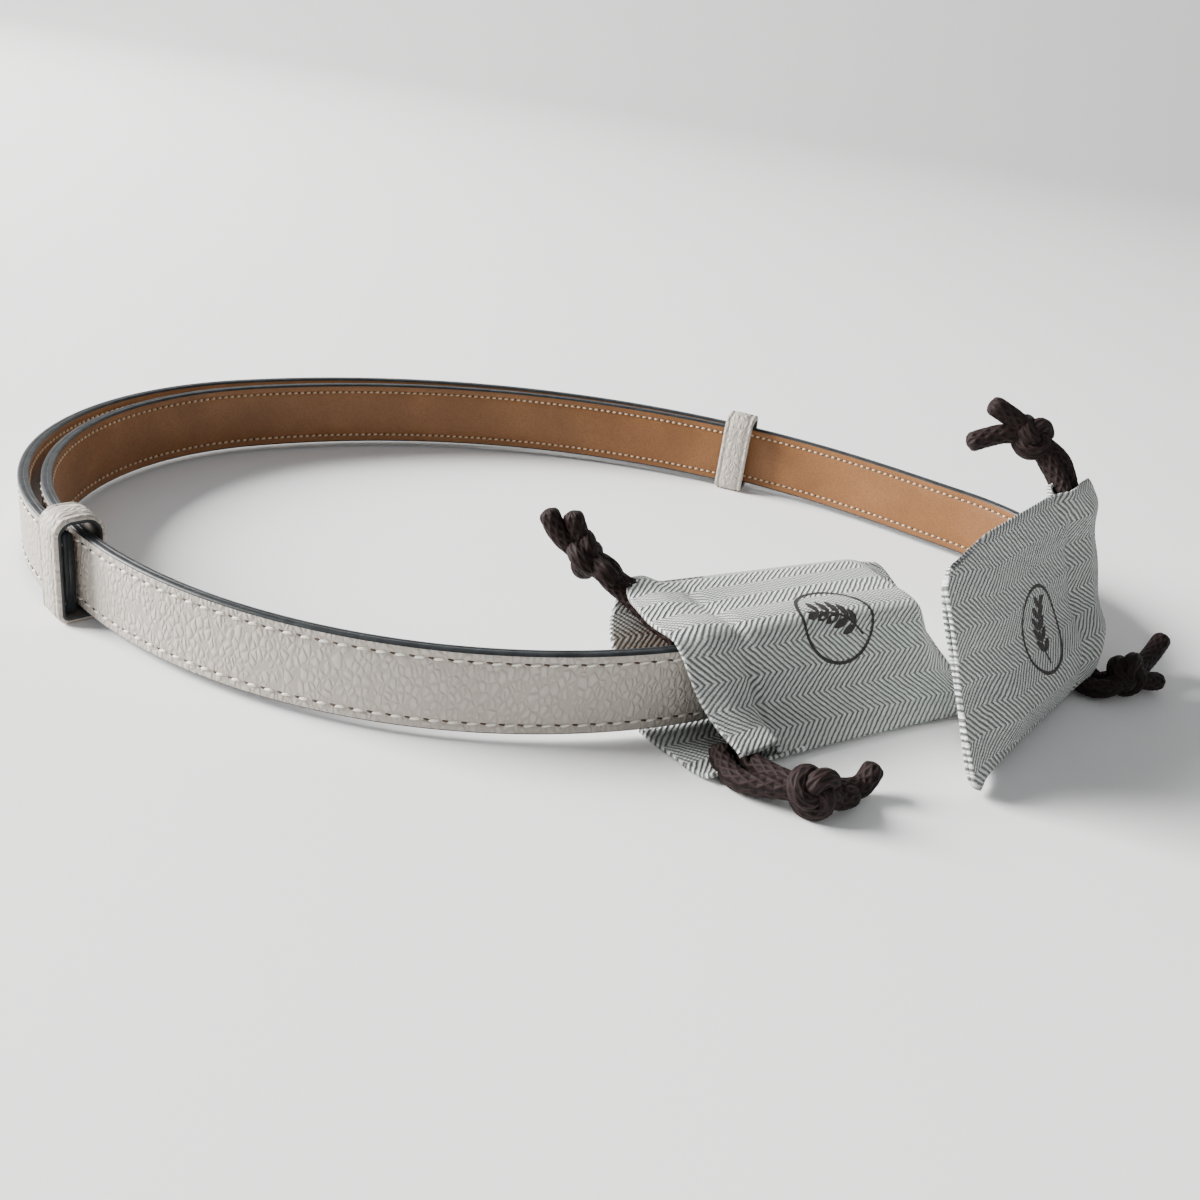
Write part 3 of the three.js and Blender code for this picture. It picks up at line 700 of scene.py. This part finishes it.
# %% From a pouch's measures to places
def pouch_point(shape, along, inward, height):
    """A place in the model, from a run along the pouch, a way in from its outer side, and a height."""
    distance, out, turn = shape["frame"]
    place = beside_route(distance, out, 0)
    heading = route_at(distance)[1] + math.radians(turn)
    lean = shape["lean"] * (height / shape["height"]) * (1 - along / shape["length"])
    foot = max(0.0, 1 - along / KICK_REACH) ** 2 * max(0.0, 1 - height / KICK_HEIGHT)
    x = shape["towards"] * (along - shape["over"] - lean - shape["kick"][0] * foot)
    flare = shape["flare"] * (along / shape["length"]) ** 3 * max(0.0, 1 - inward / FLARE_REACH)
    y = shape["side"] - inward + shape["kick"][1] * foot + flare
    return np.array([place[0] + x * math.cos(heading) - y * math.sin(heading),
                     place[1] + x * math.sin(heading) + y * math.cos(heading), height])


for label, shape in (("front", FRONT), ("back", BACK)):
    print(label, "pouch's closed end at", pouch_point(shape, 0, 0, 0).round(1))


# %% A layer of cloth
def cloth_layer(shape, layer, openings, folds):
    """Rows of points from the closed end to the mouth, and each point's run along and across the
    cloth. An opening moves one end of the rows off the other layer: the rows' first (0) or last (1)
    point, where it begins, is whole and settles, the share it settles to, its reach, its move."""
    full = smooth_line(shape[layer], count=COLUMNS)
    seam = smooth_line(shape[layer + "_seam"], count=COLUMNS)
    edge = np.array(shape["mouth_" + layer])
    mouth = np.interp(np.linspace(0, 1, COLUMNS), edge[:, 0], edge[:, 1])
    mouth = np.convolve(np.pad(mouth, 6, mode="edge"), np.ones(13) / 13, mode="valid")
    length, points, maps = shape["length"], [], []
    for along in np.linspace(0, length, ROWS):
        line = seam + (full - seam) * ease(0, shape["flatten"], along)
        run = run_of(line)
        tangent = np.gradient(line, axis=0)
        normal = np.stack([tangent[:, 1], -tangent[:, 0]], axis=1)
        normal /= np.linalg.norm(normal, axis=1)[:, None]
        if layer == "top":
            normal = -normal
        line = line + normal * folds(along, run, run[-1])[:, None]
        reach = np.full(COLUMNS, float(along)) + mouth * ease(length - MOUTH_REACH, length, along)
        corner = np.minimum(run, run[-1] - run)
        pull, radius = shape["corner"]
        reach += pull * np.clip(1 - corner / radius, 0, 1) ** 2 * max(0, 1 - along / CORNER_REACH)
        for end, first, peak, last, kept, reach_in, move in openings:
            weight = ease(first, peak, along) * (1 - (1 - kept) * ease(peak, last, along))
            away = run if end == 0 else run[-1] - run
            line = line + np.outer(weight * np.exp(-(away / reach_in) ** 2), move)
        for k in range(COLUMNS):
            points.append(pouch_point(shape, reach[k], line[k, 0], max(line[k, 1], TABLE_GAP)))
            maps.append((reach[k] / 10, run[k] / 10))
    return np.array(points).reshape(ROWS, COLUMNS, 3), np.array(maps).reshape(ROWS, COLUMNS, 2)


print("each layer", ROWS, "by", COLUMNS, "points")

# %% [markdown]
# ## Folds
# Cotton held by a drawstring hem pulls in along the hem's seam, swells over the cord inside the
# hem, and puckers near the mouth. A few slow waves elsewhere keep the faces from looking flat.

# %% Folds
SEAM_CALM = 9


def bell(value, middle, reach):
    return math.exp(-((value - middle) / reach) ** 2)


def soft_folds(shape, swell, pucker, phase):
    """How far each point of a row lifts: `swell` is over the cord, and `pucker` near the mouth."""
    def lift(along, run, width):
        inside = ease(0, SEAM_CALM, np.minimum(run, width - run))
        from_mouth = shape["length"] - along
        slow = (0.30 * np.sin(along / 11.0 + 1.7 * run / 14 + phase)
                + 0.22 * np.sin(run / 5.2 - along / 19 + phase))
        cord = swell * bell(from_mouth, 6.5, 4.2)
        sewn = -0.75 * bell(from_mouth, CASING, 1.5)
        gather = pucker * math.exp(-max(0.0, from_mouth - 4) / 12)
        gather = gather * np.sin(run / 2.6 + phase * 2 + along / 16)
        past = 0.6 * pucker * bell(from_mouth, CASING + 3, 5) * np.sin(run / 1.7 + phase)
        return inside * (slow + cord + sewn + gather + past)
    return lift


FRONT_FAR_SIDE = (1, 64, 70, 76, 0.8, 4.2)
BACK_TOP_SIDE = (1, 50, 57, 70, 0.6, 9.0)
FRONT_TOP = cloth_layer(FRONT, "top", [(0, 57, 64, 72, 0.8, 6.0, (-1.0, 4.8)),
                                       (*FRONT_FAR_SIDE, (0.6, 1.6))],
                        soft_folds(FRONT, 0.9, 0.35, 0.4))
FRONT_BOTTOM = cloth_layer(FRONT, "bottom", [(*FRONT_FAR_SIDE, (0.6, -2.2))],
                           soft_folds(FRONT, 0.0, 0.25, 1.9))
BACK_TOP = cloth_layer(BACK, "top", [(0, 55, 61, 69, 0.6, 4.2, (-1.6, 4.2)),
                                     (*BACK_TOP_SIDE, (-2.4, 0.6))],
                       soft_folds(BACK, 1.5, 0.3, 2.2))
BACK_BOTTOM = cloth_layer(BACK, "bottom", [(*BACK_TOP_SIDE, (2.6, 0.4))],
                          soft_folds(BACK, 1.2, 0.35, 0.9))
print("cloth layers", [len(grid) for grid, _ in (FRONT_TOP, FRONT_BOTTOM, BACK_TOP, BACK_BOTTOM)])

# %% [markdown]
# ## Sewing
# The two layers of a pouch become one mesh. Their points meet along the seams, so merging doubles
# sews them, and a Solidify modifier gives the cloth its thickness, inwards from the outer face.

# %% Sewing
SAMPLE_ROW, SAMPLE_COLUMN = 50, 30


def join_layers(name, layers, finish):
    """The two layers in one mesh, joined where their seams meet, then thickened inwards."""
    points, maps, faces = [], [], []
    middle = np.mean([grid.reshape(-1, 3).mean(axis=0) for grid, _ in layers], axis=0)
    for grid, uv in layers:
        base = len(points)
        new = grid_faces(ROWS, COLUMNS, False)
        here = grid[SAMPLE_ROW, SAMPLE_COLUMN]
        across = grid[SAMPLE_ROW, SAMPLE_COLUMN + 1] - here
        along = grid[SAMPLE_ROW + 1, SAMPLE_COLUMN] - here
        if np.dot(np.cross(across, along), here - middle) < 0:
            new = [f[::-1] for f in new]
        faces += [tuple(i + base for i in f) for f in new]
        points += list(grid.reshape(-1, 3))
        maps += list(uv.reshape(-1, 2))
    piece = make_piece(name, points, faces, [finish], uvs=maps)
    merge_doubles(piece, 2e-5)
    wall = piece.modifiers.new("cloth", "SOLIDIFY")
    wall.thickness, wall.offset, wall.use_even_offset = CLOTH_THICK * MM, -1, False
    return piece


front_bag = join_layers("front_pouch_cloth", [FRONT_TOP, FRONT_BOTTOM], COTTON)
back_bag = join_layers("back_pouch_cloth", [BACK_TOP, BACK_BOTTOM], COTTON)
for bag in (front_bag, back_bag):
    body = bag.name.replace("_cloth", "")
    attach(bag, body, "cotton", body + "_bag")

# %% [markdown]
# ## The printed mark
# Each pouch carries a small round print. It is a plain ring with a leafy sprig, laid on the cloth
# as flat ink: every outline is drawn in the cloth's own measures and carried up onto its surface.

# %% Places on the cloth
INK_LIFT, FEEL = 0.10, 0.6


def on_cloth(layer, along, across, outside_of):
    """A point just outside the cloth, from its runs along and across."""
    grid, maps = layer
    runs = maps[:, SAMPLE_COLUMN, 0]
    row = np.clip(np.searchsorted(runs, along / 10) - 1, 1, ROWS - 3)
    share = (along / 10 - runs[row]) / (runs[row + 1] - runs[row])

    def row_point(r, value):
        return np.array([np.interp(value / 10, maps[r, :, 1], grid[r, :, k]) for k in range(3)])

    low, high = row_point(row, across), row_point(row + 1, across)
    here = low + (high - low) * share
    side = row_point(row, across + FEEL) - row_point(row, across - FEEL)
    normal = np.cross(high - low, side)
    normal /= np.linalg.norm(normal)
    if np.dot(normal, here - outside_of) < 0:
        normal = -normal
    return here + normal * INK_LIFT


FRONT_MARK, BACK_MARK, POUCH_INSIDE = (35.0, 25.4, 0.5), (36.0, 25.5, 1.4), (14, 8)
inside = pouch_point(FRONT, FRONT_MARK[0], *POUCH_INSIDE)
print("front print's middle at", on_cloth(FRONT_TOP, *FRONT_MARK[:2], inside).round(1))

# %% Sprig
RING_RADIUS, RING_LINE, STEM_LENGTH, STEM_LINE = 9.6, 0.75, 15.2, 0.55
LEAF_PLACES, LEAF_SPREAD = (0.18, 0.34, 0.5, 0.66, 0.82), 0.85


def ribbon(line, width):
    """The two sides of a flat band, of one width or one for each point of its line."""
    line = np.array(line, float)
    tangent = np.gradient(line, axis=0)
    tangent /= np.linalg.norm(tangent, axis=1)[:, None] + 1e-9
    side = np.stack([-tangent[:, 1], tangent[:, 0]], axis=1)
    width = np.broadcast_to(np.asarray(width, float), (len(line),))[:, None]
    return line - side * width / 2, line + side * width / 2


def stem_at(share):
    return np.stack([STEM_LENGTH * (share - 0.5), 1.6 * np.sin(share * math.pi * 1.2) - 0.8], axis=-1)


def sprig_bands():
    """The ring, the stem and a pair of leaves at each of five places on it."""
    angle, share = np.linspace(0, 2 * math.pi, 121), np.linspace(0, 1, 30)
    ring = RING_RADIUS * np.stack([np.cos(angle), np.sin(angle)], axis=1)
    bands = [ribbon(ring, RING_LINE), ribbon(stem_at(share), STEM_LINE)]
    for place in LEAF_PLACES:
        size = 4.6 - 2.2 * abs(place - 0.42)
        for way in (1, -1):
            reach = size * np.array([math.cos(LEAF_SPREAD), way * math.sin(LEAF_SPREAD)])
            leaf = stem_at(place) + reach * share[:, None]
            bands.append(ribbon(leaf, 0.15 + 1.55 * np.sin(math.pi * share) ** 0.8))
    return bands


print("sprig of", len(sprig_bands()), "bands")


# %% Prints
def print_mark(name, shape, layer, along, across, turn):
    middle = pouch_point(shape, along, *POUCH_INSIDE)
    points, faces = [], []
    c, s = math.cos(turn), math.sin(turn)
    for left, right in sprig_bands():
        base, count = len(points), len(left)
        for side in (left, right):
            for a, b in side:
                points.append(on_cloth(layer, along + c * a - s * b, across + s * a + c * b, middle))
        faces += [(base + i, base + i + 1, base + count + i + 1, base + count + i)
                  for i in range(count - 1)]
    piece = make_piece(name, points, faces, [PRINT_INK])
    mesh = bmesh.new()
    mesh.from_mesh(piece.data)
    mesh.normal_update()
    centre = Vector(middle) * MM
    wrong = [f for f in mesh.faces if f.normal.dot(f.calc_center_median() - centre) < 0]
    bmesh.ops.reverse_faces(mesh, faces=wrong)
    mesh.to_mesh(piece.data)
    mesh.free()
    return piece


front_mark = print_mark("front_pouch_print", FRONT, FRONT_TOP, *FRONT_MARK)
attach(front_mark, "front_pouch", "cotton")
back_mark = print_mark("back_pouch_print", BACK, BACK_TOP, *BACK_MARK)
attach(back_mark, "back_pouch", "cotton")

# %% [markdown]
# ## Drawstring cord
# The cord is braided: strands cross each other in a diamond pattern round a soft core. The pattern
# is in the mesh itself, from two sets of ridges that wind opposite ways. The finish repeats it, with
# painted shade darkening the valleys between the strands, and adds fibre.

# %% Braid finish
BRAID_TURN, BRAID_STARTS, BRAID_DEPTH = 0.5, 8, 0.05


def cord_finish():
    material, tree, shader = finish_of("braided_cord", 0.7, Specular_IOR_Level=0.22)
    place = own_map(tree)
    split = node(tree, "ShaderNodeSeparateXYZ", place)
    along, around = split, split.node.outputs[1]
    ridges = []
    for way in (1, -1):
        phase = maths(tree, "ADD", maths(tree, "MULTIPLY", around, BRAID_STARTS * 2 * math.pi),
                      maths(tree, "MULTIPLY", along, way * 10 * BRAID_TURN * BRAID_STARTS / 2))
        ridges.append(maths(tree, "SINE", phase))
    weave = maths(tree, "MAXIMUM", *ridges)
    fibre = node(tree, "ShaderNodeTexNoise", place, None, 45.0, 4.0)
    raised = span(tree, weave, -0.6, 0.9)
    # The valleys between the strands are painted darker than the raised strands: painted shade.
    colour = blend_colour(tree, raised, (0.004, 0.002, 0.002, 1), (0.014, 0.006, 0.0055, 1))
    fuzz = span(tree, fibre, 0.45, 0.7, 0, 0.5)
    colour = blend_colour(tree, fuzz, colour, (0.026, 0.011, 0.010, 1))
    tree.links.new(colour, shader.inputs["Base Color"])
    bump(tree, shader, maths(tree, "ADD", weave, maths(tree, "MULTIPLY", fibre, 0.5)), 0.00012)
    return material


CORD = cord_finish()
print("cord finish", CORD.name, "with", BRAID_STARTS, "strands each way")

# %% Braided tube
CORD_RADIUS, CORD_STEP, AROUND = 2.3, 0.55, 32


def braided_tube(name, line, radius, taper=1.6):
    """A tube along a line of points, its wall raised in a braid, rounded over its last stretch."""
    count = len(line)
    tangent = np.gradient(line, axis=0)
    tangent /= np.linalg.norm(tangent, axis=1)[:, None]
    side = np.cross(tangent[0], (0, 0, 1.0))
    side /= np.linalg.norm(side)
    run = run_of(line)
    points, maps = [], []
    for i in range(count):
        side = side - tangent[i] * np.dot(side, tangent[i])
        side /= np.linalg.norm(side)
        other = np.cross(tangent[i], side)
        left = run[-1] - run[i]
        end = math.sqrt(max(0.0, 1 - (1 - min(1.0, left / taper)) ** 2))
        for k in range(AROUND):
            angle = 2 * math.pi * k / AROUND
            turn = BRAID_TURN * run[i]
            ridge = max(math.sin(BRAID_STARTS * angle + BRAID_STARTS / 2 * turn),
                        math.sin(BRAID_STARTS * angle - BRAID_STARTS / 2 * turn))
            r = radius * (0.955 + BRAID_DEPTH * ridge) * (0.3 + 0.7 * end)
            points.append(line[i] + side * r * math.cos(angle) + other * r * math.sin(angle))
            maps.append((run[i] / 10, k / AROUND))
    faces = grid_faces(count, AROUND, True)
    faces += [tuple(range(AROUND))[::-1], tuple(range((count - 1) * AROUND, count * AROUND))]
    piece = make_piece(name, points, faces, [CORD], uvs=maps)
    face_out(piece)
    return piece


print("cord radius", CORD_RADIUS, "mm")

# %% [markdown]
# ## Drawstring ends
# Each drawstring leaves its hem as two strands, which are tied together in one knot, and ends in
# two cut tails. The lines repeat the model's routes, with a short run inside the hem before them.
# That run is given in the pouch's own measures: along, in from its seam, and height.

# %% Drawstring routes
TASSELS = {
    "front_pouch_upper_drawstring": {
        "shape": FRONT, "knot": [4.6, -51, 26], "turn": (0.3, 1.2, 0.2),
        "hems": [[(67.5, 24.5, 16.2), (69.5, 31, 17.2), (72.4, 37.4, 20)],
                 [(62.6, 25.5, 16.2), (65, 31.5, 17.4), (69.6, 38.2, 20)]],
        "strands": [
            [[11.4, -54.6, 22.2], [9, -55.2, 24.6], [4.6, -51, 26], [2.4, -50.4, 30.6], [0.4, -50, 35]],
            [[12.2, -53.2, 22.2], [9.6, -50.4, 23.8], [4.6, -51, 26], [-1.2, -50.6, 29.6],
             [-4.8, -50, 34.6]]],
    },
    "front_pouch_lower_drawstring": {
        "shape": FRONT, "knot": [53.4, -96, 5.4], "turn": (1.3, 0.2, 0.6),
        "hems": [[(64.5, 4.6, 4.6)], [(69.5, 4.4, 3.2)]],
        "strands": [
            [[41.8, -83, 2.7], [45.2, -88.6, 3.4], [53.4, -96, 5.4], [59, -91, 3.3], [64, -87.6, 2.7],
             [66.6, -85, 6.6]],
            [[37.4, -86.2, 2.2], [41.2, -92.4, 2.7], [53.4, -96, 5.4], [58.6, -93.8, 3.1],
             [62.6, -90.6, 2.7]]],
    },
    "back_pouch_upper_drawstring": {
        "shape": BACK, "knot": [100.4, -16.8, 56.4], "turn": (0.9, 0.4, 0.3),
        "hems": [[(57.4, 15.0, 44.8)], [(62.0, 15.2, 44.8)]],
        "strands": [
            [[107.7, -21.9, 48], [104.4, -19.2, 52.2], [100.4, -16.8, 56.4], [94.6, -17, 56.4],
             [89.8, -17.6, 54.8], [86, -18.2, 53]],
            [[110.1, -18.5, 48.4], [107.4, -17.2, 52.4], [100.4, -16.8, 56.4], [96, -17.2, 59.4],
             [92, -17.4, 61.4], [88.8, -17.6, 62.8]]],
    },
    "back_pouch_lower_drawstring": {
        "shape": BACK, "knot": [135.4, -26, 5.6], "turn": (1.2, 0.5, 1.0),
        "hems": [[(61.2, 2.6, 4.4)], [(65.4, 4.0, 12.6), (65.8, 3.4, 7.4)]],
        "strands": [
            [[125.6, -30.4, 3], [130.4, -30.4, 3.4], [135.4, -26, 5.6], [140.8, -19.8, 4.6],
             [145.4, -14.2, 6.4], [149, -9.8, 9.6]],
            [[128.3, -25.9, 3], [131.6, -26.4, 3.4], [135.4, -26, 5.6], [141.6, -23.8, 3.6],
             [146.2, -21.4, 2.8]]],
    },
}
print("drawstring ends", list(TASSELS))

# %% Knots and strands
KNOT_SPREAD, KNOT_DEPTH, KNOT_CORD = 2.35, 1.35, 2.05


def knot_line(centre, turn):
    """A cord's three crossing turns round the knot's middle, as one closed line."""
    t = np.linspace(0, 2 * math.pi, 90)
    ring = KNOT_SPREAD + KNOT_DEPTH * np.cos(3 * t)
    line = np.stack([ring * np.cos(2 * t), ring * np.sin(2 * t), KNOT_DEPTH * np.sin(3 * t)], axis=1)
    turned = np.array(Matrix.Rotation(turn[0], 3, "X") @ Matrix.Rotation(turn[1], 3, "Y")
                      @ Matrix.Rotation(turn[2], 3, "Z"))
    return line @ turned.T + np.array(centre)


for name, tassel in TASSELS.items():
    body = "_".join(name.split("_")[:2])
    knot_loop = knot_line(tassel["knot"], tassel["turn"])
    knot = braided_tube(name + "_knot", knot_loop, KNOT_CORD, taper=0.01)
    attach(knot, body, "cord", name)
    for index, (hem, strand) in enumerate(zip(tassel["hems"], tassel["strands"])):
        inside = [list(pouch_point(tassel["shape"], *p)) for p in hem]
        line = smooth_line(inside + strand, CORD_STEP)
        cord = braided_tube(f"{name}_strand_{index + 1}", line, CORD_RADIUS)
        attach(cord, body, "cord", name)

# %% [markdown]
# ## Clasp
# The clasp under the pouches keeps the model's own shapes. Its plated metal has a fine brushed
# grain and slightly uneven gloss.

# %% Clasp metal
def clasp_metal():
    material, tree, shader = finish_of("clasp_metal", 0.28, Metallic=1.0)
    place = object_place(tree)
    stretched = node(tree, "ShaderNodeMapping", place)
    stretched.node.inputs["Scale"].default_value = (1, 1, 14)
    brushed = node(tree, "ShaderNodeTexNoise", stretched, None, 600.0, 3.0)
    tree.links.new(blend_colour(tree, brushed, (0.62, 0.63, 0.64, 1), (0.80, 0.81, 0.82, 1)),
                   shader.inputs["Base Color"])
    tree.links.new(span(tree, brushed, 0.3, 0.7, 0.2, 0.38), shader.inputs["Roughness"])
    bump(tree, shader, brushed, 0.00002)
    return material


METAL = clasp_metal()
for name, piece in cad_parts.items():
    if name.startswith(("slot_plate", "lock_")):
        piece.data.materials.clear()
        piece.data.materials.append(METAL)
print("clasp finish", METAL.name)

# %% [markdown]
# ## Table and light
# The belt lies on pale paper that curves up behind it. The main light comes from the left, so the
# faces turned to the right fall into shade; a weak one fills them.

# %% Table
def table_finish():
    material, tree, shader = finish_of("pale_table", 0.8, Specular_IOR_Level=0.1)
    place = object_place(tree)
    drift = node(tree, "ShaderNodeTexNoise", place, None, 3.0, 2.0)
    tree.links.new(blend_colour(tree, drift, (0.94, 0.94, 0.94, 1), (0.97, 0.97, 0.97, 1)),
                   shader.inputs["Base Color"])
    return material


TABLE_FRONT, TABLE_BACK, TABLE_HALF, PAPER_BEND, PAPER_TOP = -5000, 1800, 6000, 1500, 5000
bend = [(TABLE_BACK + PAPER_BEND * math.sin(a), PAPER_BEND * (1 - math.cos(a)))
        for a in np.radians(np.linspace(0, 90, 25))]
profile = [(TABLE_FRONT, 0), *bend, (TABLE_BACK + PAPER_BEND, PAPER_TOP)]
floor = make_piece("table", [(x, y, z) for y, z in profile for x in (-TABLE_HALF, TABLE_HALF)],
                   grid_faces(len(profile), 2, False), [table_finish()])
face_out(floor)
print("table", 2 * TABLE_HALF, "mm wide")


# %% Light
def soft_light(name, place, aim, size, power, colour):
    lamp = bpy.data.objects.new(name, bpy.data.lights.new(name, "AREA"))
    lamp.data.shape, lamp.data.size, lamp.data.energy, lamp.data.color = "SQUARE", size, power, colour
    lamp.location = place
    lamp.rotation_mode = "QUATERNION"
    lamp.rotation_quaternion = (Vector(aim) - Vector(place)).to_track_quat("-Z", "Y")
    bpy.context.scene.collection.objects.link(lamp)
    return lamp


soft_light("window", (-2.2, 0.1, 1.15), (0.0, 0.05, 0.0), 1.2, 270, (1.0, 0.99, 0.97))
soft_light("fill", (0.3, -1.0, 0.7), (0.05, 0, 0), 0.8, 0.7, (1.0, 0.96, 0.92))
world = bpy.data.worlds.new("room")
bpy.context.scene.world = world
world.use_nodes = True
world.node_tree.nodes["Background"].inputs["Color"].default_value = (0.95, 0.97, 1.0, 1)
world.node_tree.nodes["Background"].inputs["Strength"].default_value = 0.3
print("lights", [lamp.name for lamp in bpy.data.lights])
